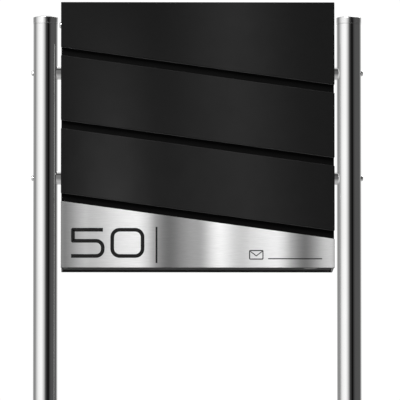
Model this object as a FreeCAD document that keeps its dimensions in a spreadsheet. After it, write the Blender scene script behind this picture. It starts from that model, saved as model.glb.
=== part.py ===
"""A letterbox held between two round posts, in millimetres.

The origin is on the floor, midway between the posts. +Z is up, and the front faces -Y, so +X is to the
right of someone who stands in front of it. The housing is folded sheet, open at the front and at the top.
The whole front is a door on two pins at its left edge, with three slats and the name plate's carrier
studded to it. The lid turns on two shoulder screws at the rear, and the cam lock sits in the housing's floor.
"""

import FreeCAD, Part
import math
import os

import Sketcher
from FreeCAD import Placement, Rotation, Vector

DRIVING_SIZES = (
    # front and housing
    ("front_width", 370.0),
    ("front_height", 360.0),
    ("whole_depth", 105.0),
    ("gauge", 1.2),
    ("bend", 1.5),
    # slats, measured on the left edge and from the top
    ("slat_depth", 8.0),
    ("plate_gauge", 1.0),
    ("first_slat", 60.7),
    ("slat_pitch", 99.0),
    ("slat_gap", 11.4),
    ("slat_fall", 51.0),
    # door pan behind the slats
    ("door_inset", 0.6),
    ("door_return", 10.5),
    ("door_drop", 10.0),
    ("door_gap", 2.8),
    # housing walls, floor and deck
    ("housing_inset", 1.1),
    ("wall_lift", 0.8),
    ("floor_rise", 4.0),
    ("floor_flange", 12.0),
    ("front_flange", 10.0),
    ("wall_drop", 1.0),
    ("deck_drop", 5.0),
    ("deck_apron", 12.0),
    ("collar_margin", 13.3),
    ("collar_width", 330.0),
    ("collar_front", 13.2),
    ("deflector_run", 32.0),
    ("deflector_fall", 43.0),
    ("deflector_margin", 3.0),
    # lid
    ("lid_drop", 2.0),
    ("lid_setback", 5.0),
    ("lid_lip", 14.0),
    ("lid_play", 0.5),
    ("lid_ear_gap", 1.0),
    ("lid_step", 9.0),
    ("lid_rear_gap", 1.2),
    ("lid_pivot_inset", 8.5),
    ("lid_pivot_drop", 11.0),
    ("lid_ear_radius", 7.0),
    ("collar_gap", 1.3),
    # door hinge
    ("hinge_inset", 4.5),
    ("hinge_back", 6.0),
    ("hinge_pin_radius", 2.0),
    ("hinge_bush_radius", 3.1),
    ("bush_flange_radius", 4.2),
    ("bush_flange", 0.8),
    ("bush_length", 4.0),
    ("hinge_play", 0.2),
    ("ear_radius", 4.0),
    ("ear_thickness", 2.0),
    ("ear_reach", 30.0),
    ("pin_reach", 7.0),
    ("running_clearance", 0.05),
    # cam lock and keeper
    ("lock_inset", 31.0),
    ("lock_setback", 24.2),
    ("lock_radius", 8.0),
    ("lock_flange_radius", 10.0),
    ("lock_flange", 2.0),
    ("lock_height", 12.0),
    ("plug_radius", 5.0),
    ("cam_length", 24.0),
    ("cam_width", 10.0),
    ("cam_gap", 0.6),
    ("cam_play", 1.0),
    ("cam_screw_radius", 1.5),
    ("cam_screw_reach", 6.0),
    ("key_slot_depth", 3.0),
    ("keeper_width", 13.0),
    ("keeper_overlap", 8.0),
    ("keeper_height", 15.0),
    # fasteners and rubber
    ("screw_radius", 2.0),
    ("screw_clearance", 0.15),
    ("nut_radius", 4.04),
    ("nut_height", 3.2),
    ("screw_tail", 1.5),
    ("head_radius", 3.8),
    ("head_height", 2.2),
    ("washer_radius", 6.0),
    ("washer_thickness", 1.0),
    ("stud_pitch", 100.0),
    ("shoulder_radius", 2.5),
    ("shoulder_head_radius", 4.5),
    ("rubber_radius", 4.0),
    ("rubber_play", 0.3),
    ("door_bumper_inset", 36.0),
    ("lid_bumper_offset", 110.0),
    # stand
    ("post_diameter", 33.7),
    ("post_wall", 2.0),
    ("post_length", 1182.0),
    ("post_gap", 4.2),
    ("cap_overhang", 0.3),
    ("cap_rim", 9.0),
    ("cap_dome", 3.0),
    ("cap_spigot", 12.0),
    ("front_rise", 13.0),
    ("upper_bolt_drop", 92.0),
    ("bolt_pitch", 143.0),
    ("spacer_diameter", 18.0),
    ("base_diameter", 120.0),
    ("base_thickness", 6.0),
    ("anchor_circle", 90.0),
    ("anchor_hole", 9.0),
)
ANCHORS = 4
STUD_COLUMNS = (-1.5, -0.5, 0.5, 1.5)
SIDES = (("left", -1), ("right", 1))
TURNS = {
    "+X": Rotation(Vector(0, 1, 0), 90),
    "-X": Rotation(Vector(0, 1, 0), -90),
    "+Y": Rotation(Vector(1, 0, 0), -90),
    "-Y": Rotation(Vector(1, 0, 0), 90),
    "+Z": Rotation(),
}


class Size:
    """A length that carries its number together with the sheet formula it comes from."""

    def __init__(self, number, formula):
        self.number = number
        self.formula = formula

    @staticmethod
    def of(thing):
        return thing if isinstance(thing, Size) else Size(float(thing), f"{float(thing):.6g}")

    def combine(self, other, number, sign):
        return Size(number, f"({self.formula} {sign} {other.formula})")

    def __add__(self, other):
        other = Size.of(other)
        return self.combine(other, self.number + other.number, "+")

    def __sub__(self, other):
        other = Size.of(other)
        return self.combine(other, self.number - other.number, "-")

    def __mul__(self, other):
        other = Size.of(other)
        return self.combine(other, self.number * other.number, "*")

    def __truediv__(self, other):
        other = Size.of(other)
        return self.combine(other, self.number / other.number, "/")

    def __neg__(self):
        return Size(-self.number, f"(-1 * {self.formula})")

    def root(self):
        return Size(math.sqrt(self.number), f"sqrt({self.formula})")


doc = FreeCAD.newDocument("Letterbox")
nodes = []


def fill_sheet():
    """Writes the driving sizes into the spreadsheet and returns them by name."""
    sheet = doc.addObject("Spreadsheet::Sheet", "Sizes")
    sizes = {}
    for row, (name, number) in enumerate(DRIVING_SIZES, start=1):
        sheet.set(f"A{row}", name)
        sheet.set(f"B{row}", str(number))
        sheet.setAlias(f"B{row}", name)
        sizes[name] = Size(number, f"Sizes.{name}")
    doc.recompute()
    return sizes


S = fill_sheet()


# ---- tools shared by the sub-parts ----


def bind(thing, name, size):
    thing.setExpression(name, Size.of(size).formula)


def place(solid, point, turn=Rotation()):
    """Puts a solid's own origin at a point whose three coordinates follow the sheet."""
    sizes = [Size.of(value) for value in point]
    solid.Placement = Placement(Vector(*(size.number for size in sizes)), turn)
    for letter, size in zip("xyz", sizes):
        bind(solid, f"Placement.Base.{letter}", size)
    return solid


def block(corner, opposite):
    """Box between two opposite corners, given in any order."""
    solid = doc.addObject("Part::Box", "Block")
    low = []
    for name, a, b in zip(("Length", "Width", "Height"), corner, opposite):
        a, b = sorted((Size.of(a), Size.of(b)), key=lambda size: size.number)
        bind(solid, name, b - a)
        low.append(a)
    return place(solid, low)


def rod(radius, start, length, towards="+Z"):
    """Round bar from the middle of its first face, running along a row axis."""
    solid = doc.addObject("Part::Cylinder", "Rod")
    bind(solid, "Radius", radius)
    bind(solid, "Height", length)
    return place(solid, start, TURNS[towards])


def hexagon(radius, start, length, towards="+Z"):
    """Six-sided bar whose corners lie at radius."""
    solid = doc.addObject("Part::Prism", "Hexagon")
    solid.Polygon = 6
    bind(solid, "Circumradius", radius)
    bind(solid, "Height", length)
    return place(solid, start, TURNS[towards])


def ball(radius, centre):
    solid = doc.addObject("Part::Sphere", "Ball")
    bind(solid, "Radius", radius)
    return place(solid, centre)


def joined(*solids):
    if len(solids) == 1:
        return solids[0]
    result = doc.addObject("Part::MultiFuse", "Joined")
    result.Shapes = list(solids)
    result.Refine = True
    return result


def common(base, tool):
    result = doc.addObject("Part::Common", "Common")
    result.Base = base
    result.Tool = tool
    return result


def cut(base, *tools):
    result = doc.addObject("Part::Cut", "Cut")
    result.Base = base
    result.Tool = joined(*tools)
    return result


def group(solids):
    """Separate solids of identical pieces that share one node."""
    result = doc.addObject("Part::Compound", "Group")
    result.Links = list(solids)
    return result


def node(label, solid):
    solid.Label = label
    nodes.append(solid)
    return solid


def new_body(point):
    """PartDesign body with its origin at a point that follows the sheet."""
    return place(doc.addObject("PartDesign::Body", "Body"), point)


def new_sketch(body, plane, lift=0):
    """Sketch on one of the body's own planes, raised along the plane's normal."""
    sketch = body.newObject("Sketcher::SketchObject", "Sketch")
    support = next(item for item in body.Origin.OriginFeatures if item.Role == plane)
    sketch.AttachmentSupport = (support, [""])
    sketch.MapMode = "FlatFace"
    bind(sketch, "AttachmentOffset.Base.z", lift)
    return sketch


def hold(sketch, shape, end, point):
    """Fixes one point of a sketch at coordinates that follow the sheet."""
    axes = (("DistanceX", -2, point[0]), ("DistanceY", -1, point[1]))
    for kind, axis, size in axes:
        size = Size.of(size)
        if size.number == 0:
            sketch.addConstraint(Sketcher.Constraint("PointOnObject", shape, end, axis))
            continue
        ends = (-1, 1, shape, end) if size.number > 0 else (shape, end, -1, 1)
        distance = size if size.number > 0 else -size
        index = sketch.addConstraint(Sketcher.Constraint(kind, *ends, distance.number))
        bind(sketch, f"Constraints[{index}]", distance)


def outline(body, plane, points, lift=0):
    """Closed polygon through the points."""
    sketch = new_sketch(body, plane, lift)
    places = [Vector(Size.of(x).number, Size.of(y).number, 0) for x, y in points]
    count = len(points)
    for index in range(count):
        sketch.addGeometry(Part.LineSegment(places[index], places[(index + 1) % count]), False)
    for index in range(count):
        following = (index + 1) % count
        sketch.addConstraint(Sketcher.Constraint("Coincident", index, 2, following, 1))
        hold(sketch, index, 1, points[index])
    return sketch


def circles(body, plane, rings, lift=0):
    """Full circles, each given as its centre and radius."""
    sketch = new_sketch(body, plane, lift)
    for centre, radius in rings:
        middle = Vector(Size.of(centre[0]).number, Size.of(centre[1]).number, 0)
        circle = Part.Circle(middle, Vector(0, 0, 1), Size.of(radius).number)
        shape = sketch.addGeometry(circle, False)
        hold(sketch, shape, 3, centre)
        index = sketch.addConstraint(Sketcher.Constraint("Radius", shape, circle.Radius))
        bind(sketch, f"Constraints[{index}]", radius)
    return sketch


def pad(body, sketch, length, reverse=False):
    feature = body.newObject("PartDesign::Pad", "Pad")
    feature.Profile = sketch
    feature.Reversed = reverse
    bind(feature, "Length", length)
    doc.recompute()
    return feature


def pocket(body, sketch, length, reverse=False):
    """Cut as deep as length, which has to take something away."""
    before = body.Shape.Volume
    feature = body.newObject("PartDesign::Pocket", "Pocket")
    feature.Profile = sketch
    feature.Reversed = reverse
    bind(feature, "Length", length)
    doc.recompute()
    if body.Shape.Volume >= before:
        raise RuntimeError(f"{feature.Name} cuts nothing")
    return feature


def round_face(body, feature, direction):
    """Rounds every edge of the feature's outermost face in a direction, as a folded bend."""
    faces = feature.Shape.Faces
    farthest = max(range(len(faces)), key=lambda index: faces[index].CenterOfMass.dot(direction))
    fillet = body.newObject("PartDesign::Fillet", "Fillet")
    fillet.Base = (feature, [f"Face{farthest + 1}"])
    bind(fillet, "Radius", S["bend"])
    doc.recompute()
    return fillet


# ---- places that several sub-parts share ----

cap_top = S["base_thickness"] + S["post_length"] + S["cap_rim"] + S["cap_dome"]
front_top = cap_top + S["front_rise"]
front_bottom = front_top - S["front_height"]
front_face = -S["whole_depth"] / 2
rear_face = S["whole_depth"] / 2
post_place = S["front_width"] / 2 + S["post_gap"] + S["post_diameter"] / 2
tube_top = S["base_thickness"] + S["post_length"]
bolt_heights = (
    front_top - S["upper_bolt_drop"],
    front_top - S["upper_bolt_drop"] - S["bolt_pitch"],
)

pan_front = front_face + S["slat_depth"]
pan_back = pan_front + S["gauge"]
door_end = pan_front + S["door_return"]
door_half = S["front_width"] / 2 - S["door_inset"]
floor_under = front_bottom + S["floor_rise"]
floor_top = floor_under + S["gauge"]
door_bottom = floor_under + S["bush_flange"] + S["hinge_play"]
door_top = front_top - S["door_drop"]

housing_front = door_end + S["door_gap"]
housing_half = door_half - S["housing_inset"]
wall_inside = housing_half - S["gauge"]
rear_inside = rear_face - S["gauge"]
flange_inner = housing_half - S["front_flange"]
wall_bottom = front_bottom + S["wall_lift"]
wall_top = door_top - S["wall_drop"]
deck_under = wall_top - S["deck_drop"]
deck_top = deck_under + S["gauge"]

lid_top = front_top - S["lid_drop"]
lid_under = lid_top - S["gauge"]
pivot_y = rear_face - S["lid_pivot_inset"]
pivot_z = wall_top - S["lid_pivot_drop"]

hinge_x = -door_half + S["hinge_inset"]
hinge_y = pan_front + S["hinge_back"]
upper_ear_under = door_top + S["bush_flange"] + S["hinge_play"]
upper_ear_top = upper_ear_under + S["ear_thickness"]

lock_x = door_half - S["lock_inset"]
lock_y = housing_front + S["lock_setback"]
lock_top = floor_under + S["lock_height"]
cam_under = lock_top + S["cam_gap"]
cam_thickness = S["ear_thickness"]

screw_hole = S["screw_radius"] + S["screw_clearance"]


# ---- slats and name plate ----


def slat_edges():
    """Left and right heights of the slats' edges above the front's bottom, from the top down."""
    edges = []
    above = (S["front_height"], S["front_height"])
    for count in range(3):
        under = S["front_height"] - S["first_slat"] - S["slat_pitch"] * count
        below = (under, under - S["slat_fall"])
        edges.append((below, above))
        above = (below[0] - S["slat_gap"], below[1] - S["slat_gap"])
    edges.append(((Size.of(0), Size.of(0)), above))
    return edges


def inner_heights(heights, sign):
    """Heights of an edge's inner side, one gauge in along its normal, at the inner left and right."""
    slope = (heights[1] - heights[0]) / S["front_width"]
    inward = (slope * slope + 1).root() * S["gauge"] * sign
    left = heights[0] + slope * S["gauge"] + inward
    right = heights[1] - slope * S["gauge"] + inward
    return left, right


def slat_corners(low, high):
    """Corners of a slat's face, from the left and right heights of its low and high edges."""
    half = S["front_width"] / 2
    return (-half, low[0]), (half, low[1]), (half, high[1]), (-half, high[0])


def folded_tray(low, high, face):
    """Sheet tray with its face to the front, as deep as the space between its face and the door pan."""
    inside = S["front_width"] / 2 - S["gauge"]
    depth = pan_front - face
    body = new_body((0, face, front_bottom))
    sheet = pad(body, outline(body, "XZ_Plane", slat_corners(low, high)), depth, reverse=True)
    round_face(body, sheet, Vector(0, -1, 0))
    low_in = inner_heights(low, 1)
    high_in = inner_heights(high, -1)
    hollow = ((-inside, low_in[0]), (inside, low_in[1]), (inside, high_in[1]), (-inside, high_in[0]))
    pocket(body, outline(body, "XZ_Plane", hollow, -S["gauge"]), depth)
    return body


def flat_plate(low, high):
    """Flat name plate on the face of its carrier tray."""
    body = new_body((0, front_face, front_bottom))
    pad(body, outline(body, "XZ_Plane", slat_corners(low, high)), S["plate_gauge"], reverse=True)
    return body


def stud_places():
    """Centres of the studs in x and z: a row of four along the middle of each slat."""
    places = []
    for low, high in slat_edges():
        left = (low[0] + high[0]) / 2
        right = (low[1] + high[1]) / 2
        for column in STUD_COLUMNS:
            x = S["stud_pitch"] * column
            share = x / S["front_width"] + 0.5
            places.append((x, front_bottom + left + (right - left) * share))
    return places


def make_slats():
    """Three slats and the name plate's carrier, with the plate on it, and their studs and nuts."""
    names = ("slat_top", "slat_upper_middle", "slat_lower_middle", "plate_carrier")
    faces = [front_face] * 3 + [front_face + S["plate_gauge"]]
    for name, (low, high), face in zip(names, slat_edges(), faces):
        node(name, folded_tray(low, high, face))
    node("name_plate", flat_plate(*slat_edges()[-1]))
    studs = []
    nuts = []
    stud_faces = [face + S["gauge"] for face in faces for _ in STUD_COLUMNS]
    for (x, z), start in zip(stud_places(), stud_faces):
        length = pan_back - start + S["nut_height"] + S["screw_tail"]
        studs.append(rod(S["screw_radius"], (x, start, z), length, "+Y"))
        nut = hexagon(S["nut_radius"], (x, pan_back, z), S["nut_height"], "+Y")
        nuts.append(cut(nut, rod(S["screw_radius"], (x, pan_back, z), S["nut_height"], "+Y")))
    node("slat_studs", group(studs))
    node("slat_nuts", group(nuts))


# ---- door pan, hinge and keeper ----


def make_door_pan():
    """Shallow tray behind the slats, with stud holes and a bush hole in its top and bottom returns."""
    body = new_body((0, pan_front, 0))
    inside = door_half - S["gauge"]
    corners = (
        (-door_half, door_bottom),
        (door_half, door_bottom),
        (door_half, door_top),
        (-door_half, door_top),
    )
    sheet = pad(body, outline(body, "XZ_Plane", corners), S["door_return"], reverse=True)
    round_face(body, sheet, Vector(0, -1, 0))
    hollow = (
        (-inside, door_bottom + S["gauge"]),
        (inside, door_bottom + S["gauge"]),
        (inside, door_top - S["gauge"]),
        (-inside, door_top - S["gauge"]),
    )
    pocket(body, outline(body, "XZ_Plane", hollow, -S["gauge"]), S["door_return"])
    rings = [(centre, screw_hole) for centre in stud_places()]
    pocket(body, circles(body, "XZ_Plane", rings), S["gauge"])
    bush = circles(body, "XY_Plane", [((hinge_x, hinge_y - pan_front), S["hinge_bush_radius"])])
    pocket(body, bush, door_top, reverse=True)
    node("door_pan", body)


def make_bush(name, seat, step):
    """Nylon bush in a return of the door: seat is the return's outer face, step points out of it."""
    whole = S["bush_length"] + S["bush_flange"]
    flange_low = seat if step > 0 else seat - S["bush_flange"]
    low = seat - S["bush_length"] if step > 0 else flange_low
    barrel = rod(S["hinge_bush_radius"], (hinge_x, hinge_y, low), whole)
    flange = rod(S["bush_flange_radius"], (hinge_x, hinge_y, flange_low), S["bush_flange"])
    bore = rod(S["hinge_pin_radius"] + S["running_clearance"], (hinge_x, hinge_y, low), whole)
    node(name, cut(joined(barrel, flange), bore))


def make_hinge():
    """Ears on the housing carry fixed pins, which turn in the door's bushes."""
    ear_inner = hinge_x + S["ear_radius"]
    ear_back = hinge_y + S["ear_reach"]
    ears = (("lower", floor_under - S["ear_thickness"]), ("upper", upper_ear_under))
    for name, under in ears:
        top = under + S["ear_thickness"]
        tongue = block((-wall_inside, hinge_y, under), (ear_inner, ear_back, top))
        nose = rod(S["ear_radius"], (hinge_x, hinge_y, under), S["ear_thickness"])
        pieces = [tongue, nose]
        if name == "upper":
            leaf_inner = -wall_inside + S["ear_thickness"]
            leaf = block((-wall_inside, housing_front, deck_top), (leaf_inner, ear_back, under))
            pieces.append(leaf)
        hole = rod(S["hinge_pin_radius"], (hinge_x, hinge_y, under), S["ear_thickness"])
        node(f"hinge_ear_{name}", cut(joined(*pieces), hole))
    pin_length = S["ear_thickness"] + S["hinge_play"] + S["bush_flange"] + S["pin_reach"]
    lower_start = floor_under - S["ear_thickness"]
    upper_start = upper_ear_top - pin_length
    for name, start in (("lower", lower_start), ("upper", upper_start)):
        pin = rod(S["hinge_pin_radius"], (hinge_x, hinge_y, start), pin_length)
        node(f"hinge_pin_{name}", pin)
    make_bush("hinge_bush_lower", door_bottom, -1)
    make_bush("hinge_bush_upper", door_top, 1)


def make_keeper():
    """Angle on the door's bottom return, with an upright tab behind the turned cam."""
    seat = door_bottom + S["gauge"]
    right = lock_x - S["cam_length"] + S["keeper_overlap"]
    left = right - S["keeper_width"]
    tab_front = lock_y + S["cam_width"] / 2 + S["cam_play"]
    tab_back = tab_front + S["gauge"]
    arm = block((left, pan_back, seat), (right, tab_back, seat + S["gauge"]))
    tab = block((left, tab_front, seat), (right, tab_back, seat + S["keeper_height"]))
    node("lock_keeper", joined(arm, tab))


# ---- housing ----


def make_wrap():
    """One sheet folded to a back, two sides and two inward front flanges."""
    body = new_body((0, 0, wall_bottom))
    flange_back = housing_front + S["gauge"]
    profile = (
        (-flange_inner, housing_front),
        (-housing_half, housing_front),
        (-housing_half, rear_face),
        (housing_half, rear_face),
        (housing_half, housing_front),
        (flange_inner, housing_front),
        (flange_inner, flange_back),
        (wall_inside, flange_back),
        (wall_inside, rear_inside),
        (-wall_inside, rear_inside),
        (-wall_inside, flange_back),
        (-flange_inner, flange_back),
    )
    pad(body, outline(body, "XY_Plane", profile), wall_top - wall_bottom)
    tools = []
    for _, side in SIDES:
        for low, high in ((wall_bottom, floor_top), (deck_under, wall_top)):
            corner = (wall_inside * side, housing_front, low)
            tools.append(block(corner, (flange_inner * side, flange_back, high)))
        outward = "+X" if side > 0 else "-X"
        for height in bolt_heights:
            tools.append(rod(screw_hole, (wall_inside * side, 0, height), S["gauge"], outward))
        pivot = (wall_inside * side, pivot_y, pivot_z)
        tools.append(rod(S["shoulder_radius"], pivot, S["gauge"], outward))
    node("housing_wrap", cut(body, *tools))


def make_floor():
    """Floor tray with upturned flanges at the sides and the rear, and the lock's hole."""
    body = new_body((0, 0, floor_under))
    flange_front = housing_front + S["gauge"]
    plate = (
        (-wall_inside, housing_front),
        (wall_inside, housing_front),
        (wall_inside, rear_inside),
        (-wall_inside, rear_inside),
    )
    pad(body, outline(body, "XY_Plane", plate), S["gauge"])
    inner = wall_inside - S["gauge"]
    rim = (
        (-wall_inside, flange_front),
        (-wall_inside, rear_inside),
        (wall_inside, rear_inside),
        (wall_inside, flange_front),
        (inner, flange_front),
        (inner, rear_inside - S["gauge"]),
        (-inner, rear_inside - S["gauge"]),
        (-inner, flange_front),
    )
    pad(body, outline(body, "XY_Plane", rim), S["floor_flange"])
    hole = circles(body, "XY_Plane", [((lock_x, lock_y), S["lock_radius"] + S["screw_clearance"])])
    pocket(body, hole, S["gauge"], reverse=True)
    node("housing_floor", body)


def make_deck():
    """Top plate with an apron at the front and a collar round the letter opening."""
    collar_rear = rear_inside - S["collar_margin"]
    collar_front = housing_front + S["collar_front"]
    half = S["collar_width"] / 2
    collar_top = lid_under - S["collar_gap"]
    plate = block((-wall_inside, housing_front, deck_under), (wall_inside, rear_inside, deck_top))
    apron = block(
        (-flange_inner + S["rubber_play"], housing_front, deck_under - S["deck_apron"]),
        (flange_inner - S["rubber_play"], housing_front + S["gauge"], deck_under),
    )
    collar = block(
        (-half - S["gauge"], collar_front - S["gauge"], deck_under),
        (half + S["gauge"], collar_rear + S["gauge"], collar_top),
    )
    opening = block((-half, collar_front, deck_under), (half, collar_rear, collar_top))
    node("top_deck", cut(joined(plate, apron, collar), opening))


def make_deflector():
    """Bent sheet under the deck: a tab, then a slope that falls towards the rear wall."""
    half = flange_inner - S["deflector_margin"]
    body = new_body((-half, 0, 0))
    start = housing_front + S["gauge"] + S["rubber_play"]
    bend_y = housing_front + S["collar_front"]
    run = S["deflector_run"]
    fall = S["deflector_fall"]
    shift = (run * run + fall * fall).root() / fall * S["gauge"]
    profile = (
        (start, deck_under),
        (bend_y, deck_under),
        (bend_y + run, deck_under - fall),
        (bend_y + run - shift, deck_under - fall),
        (bend_y - shift + run / fall * S["gauge"], deck_under - S["gauge"]),
        (start, deck_under - S["gauge"]),
    )
    pad(body, outline(body, "YZ_Plane", profile), half * 2)
    node("deflector", body)


def make_rubbers():
    """Bumpers that the closed door and the closed lid nearly touch."""
    door_rubbers = []
    x = housing_half - S["front_flange"] / 2
    length = housing_front - pan_back - S["rubber_play"]
    inset = S["door_bumper_inset"]
    for height in (floor_top + inset, deck_under - inset):
        door_rubbers.append(rod(S["rubber_radius"], (x, housing_front, height), length, "-Y"))
    node("door_bumpers", group(door_rubbers))
    lid_rubbers = []
    y = housing_front + (S["collar_front"] - S["gauge"]) / 2
    for _, side in SIDES:
        foot = (S["lid_bumper_offset"] * side, y, deck_top)
        lid_rubbers.append(rod(S["rubber_radius"], foot, lid_under - deck_top - S["rubber_play"]))
    node("lid_bumpers", group(lid_rubbers))


# ---- lid ----


def make_lid():
    """Folded plate: a shallow front lip, side and rear lips, and an ear on each side for its pivot."""
    front = pan_front + S["lid_setback"]
    rear_lip = rear_face + S["lid_rear_gap"]
    inner = housing_half + S["lid_play"]
    outer = inner + S["gauge"]
    lip_end = lid_top - S["lid_lip"]
    step_y = housing_front + S["lid_step"]
    step_z = upper_ear_top + S["lid_ear_gap"]
    body = new_body((0, 0, lip_end))
    plate = (
        (-outer, front),
        (outer, front),
        (outer, rear_lip + S["gauge"]),
        (-outer, rear_lip + S["gauge"]),
    )
    sheet = pad(body, outline(body, "XY_Plane", plate), S["lid_lip"])
    round_face(body, sheet, Vector(0, 0, 1))
    hollow = (
        (-inner, front + S["gauge"]),
        (inner, front + S["gauge"]),
        (inner, rear_lip),
        (-inner, rear_lip),
    )
    pocket(body, outline(body, "XY_Plane", hollow), S["lid_lip"] - S["gauge"], reverse=True)
    ears = []
    holes = []
    radius = S["lid_ear_radius"]
    for _, side in SIDES:
        outward = "+X" if side > 0 else "-X"
        pivot = (inner * side, pivot_y, pivot_z)
        ears.append(rod(radius, pivot, S["gauge"], outward))
        corner = (inner * side, pivot_y - radius, pivot_z)
        ears.append(block(corner, (outer * side, pivot_y + radius, lip_end + S["bend"])))
        hole = S["shoulder_radius"] + S["running_clearance"]
        holes.append(rod(hole, pivot, S["gauge"], outward))
    step = block((-outer, front, lip_end), (outer, step_y, step_z))
    node("lid", cut(joined(body, *ears), step, *holes))


def make_pivots():
    """Shoulder screws through the lid's ears, with nuts inside the walls."""
    screws = []
    nuts = []
    shoulder_end = housing_half + S["lid_play"] + S["gauge"] + S["rubber_play"]
    for _, side in SIDES:
        outward, inward = ("+X", "-X") if side > 0 else ("-X", "+X")
        inside = (wall_inside * side, pivot_y, pivot_z)
        shoulder = rod(S["shoulder_radius"], inside, shoulder_end - wall_inside, outward)
        head_start = (shoulder_end * side, pivot_y, pivot_z)
        head = rod(S["shoulder_head_radius"], head_start, S["head_height"], outward)
        thread_length = S["nut_height"] + S["screw_tail"]
        thread = rod(S["screw_radius"], inside, thread_length, inward)
        screws.append(joined(shoulder, head, thread))
        nut = hexagon(S["nut_radius"], inside, S["nut_height"], inward)
        nuts.append(cut(nut, rod(S["screw_radius"], inside, S["nut_height"], inward)))
    node("lid_pivot_screws", group(screws))
    node("lid_pivot_nuts", group(nuts))


# ---- cam lock ----


def make_lock():
    """Lock body clamped in the floor by its nut, with the plug, cam and cam screw turning in it."""
    radius = S["lock_radius"]
    plug = S["plug_radius"]
    stem = plug - S["ear_thickness"]
    bottom = floor_under - S["lock_flange"]
    flange = rod(S["lock_flange_radius"], (lock_x, lock_y, bottom), S["lock_flange"])
    barrel = rod(radius, (lock_x, lock_y, floor_under), S["lock_height"])
    bore_height = lock_top - bottom
    bore = rod(plug + S["running_clearance"], (lock_x, lock_y, bottom), bore_height)
    node("lock_body", cut(joined(flange, barrel), bore))

    nut_radius = radius + S["nut_height"]
    nut = hexagon(nut_radius, (lock_x, lock_y, floor_top), S["nut_height"])
    node("lock_nut", cut(nut, rod(radius, (lock_x, lock_y, floor_top), S["nut_height"])))

    shank = S["cam_screw_radius"]
    shank_length = S["cam_screw_reach"]
    barrel_plug = rod(plug, (lock_x, lock_y, bottom), cam_under - bottom)
    stem_plug = rod(stem, (lock_x, lock_y, cam_under), cam_thickness)
    screw_start = cam_under + cam_thickness - shank_length
    tapped = rod(shank, (lock_x, lock_y, screw_start), shank_length)
    slot = block(
        (lock_x - plug / 2, lock_y - S["gauge"] / 2, bottom),
        (lock_x + plug / 2, lock_y + S["gauge"] / 2, bottom + S["key_slot_depth"]),
    )
    node("lock_plug", cut(joined(barrel_plug, stem_plug), tapped, slot))

    half = S["cam_width"] / 2
    tip = S["cam_length"] - half
    hub = rod(S["lock_radius"] - S["cam_play"], (lock_x, lock_y, cam_under), cam_thickness)
    arm = block(
        (lock_x - half, lock_y - tip, cam_under),
        (lock_x + half, lock_y, cam_under + cam_thickness),
    )
    nose = rod(half, (lock_x, lock_y - tip, cam_under), cam_thickness)
    hole = rod(stem, (lock_x, lock_y, cam_under), cam_thickness)
    node("lock_cam", cut(joined(hub, arm, nose), hole))

    head_start = cam_under + cam_thickness
    head = rod(S["head_radius"], (lock_x, lock_y, head_start), S["head_height"])
    shank_rod = rod(shank, (lock_x, lock_y, screw_start), shank_length)
    node("lock_cam_screw", joined(head, shank_rod))


# ---- stand ----


def make_post(name, side):
    """Tube with a cross hole at each bolt."""
    radius = S["post_diameter"] / 2
    body = new_body((post_place * side, 0, S["base_thickness"]))
    rings = [((0, 0), radius), ((0, 0), radius - S["post_wall"])]
    pad(body, circles(body, "XY_Plane", rings), S["post_length"])
    start = post_place * side - radius
    holes = [rod(screw_hole, (start, 0, height), S["post_diameter"], "+X") for height in bolt_heights]
    node(f"post_{name}", cut(body, *holes))


def make_cap(name, side):
    """Rim with a low dome, on a spigot that slides into the tube."""
    x = post_place * side
    radius = S["post_diameter"] / 2 + S["cap_overhang"]
    dome = S["cap_dome"]
    dome_radius = (radius * radius + dome * dome) / (dome * 2)
    rim = rod(radius, (x, 0, tube_top), S["cap_rim"] + dome)
    crown = ball(dome_radius, (x, 0, cap_top - dome_radius))
    spigot_radius = S["post_diameter"] / 2 - S["post_wall"] - S["running_clearance"]
    spigot = rod(spigot_radius, (x, 0, tube_top - S["cap_spigot"]), S["cap_spigot"])
    node(f"post_cap_{name}", joined(common(rim, crown), spigot))


def make_base(name, side):
    """Round foot plate with a ring of anchor holes."""
    body = new_body((post_place * side, 0, 0))
    pad(body, circles(body, "XY_Plane", [((0, 0), S["base_diameter"] / 2)]), S["base_thickness"])
    ring = S["anchor_circle"] / 2 * math.sqrt(0.5)
    first = circles(body, "XY_Plane", [((ring, ring), S["anchor_hole"] / 2)])
    hole = pocket(body, first, S["base_thickness"], reverse=True)
    pattern = body.newObject("PartDesign::PolarPattern", "Anchors")
    pattern.Originals = [hole]
    axis = next(item for item in body.Origin.OriginFeatures if item.Role == "Z_Axis")
    pattern.Axis = (axis, [""])
    pattern.Angle = 360
    pattern.Occurrences = ANCHORS
    body.Tip = pattern
    node(f"base_plate_{name}", body)


def make_spacer(name, side, height):
    """Round spacer from the housing wall, ending in a saddle that follows the post."""
    outward = "+X" if side > 0 else "-X"
    start = (housing_half * side, 0, height)
    length = post_place - housing_half
    bar = rod(S["spacer_diameter"] / 2, start, length, outward)
    foot = height - S["spacer_diameter"]
    saddle = rod(S["post_diameter"] / 2, (post_place * side, 0, foot), S["spacer_diameter"] * 2)
    hole = rod(screw_hole, start, length, outward)
    node(f"spacer_{name}", cut(bar, saddle, hole))


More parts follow.
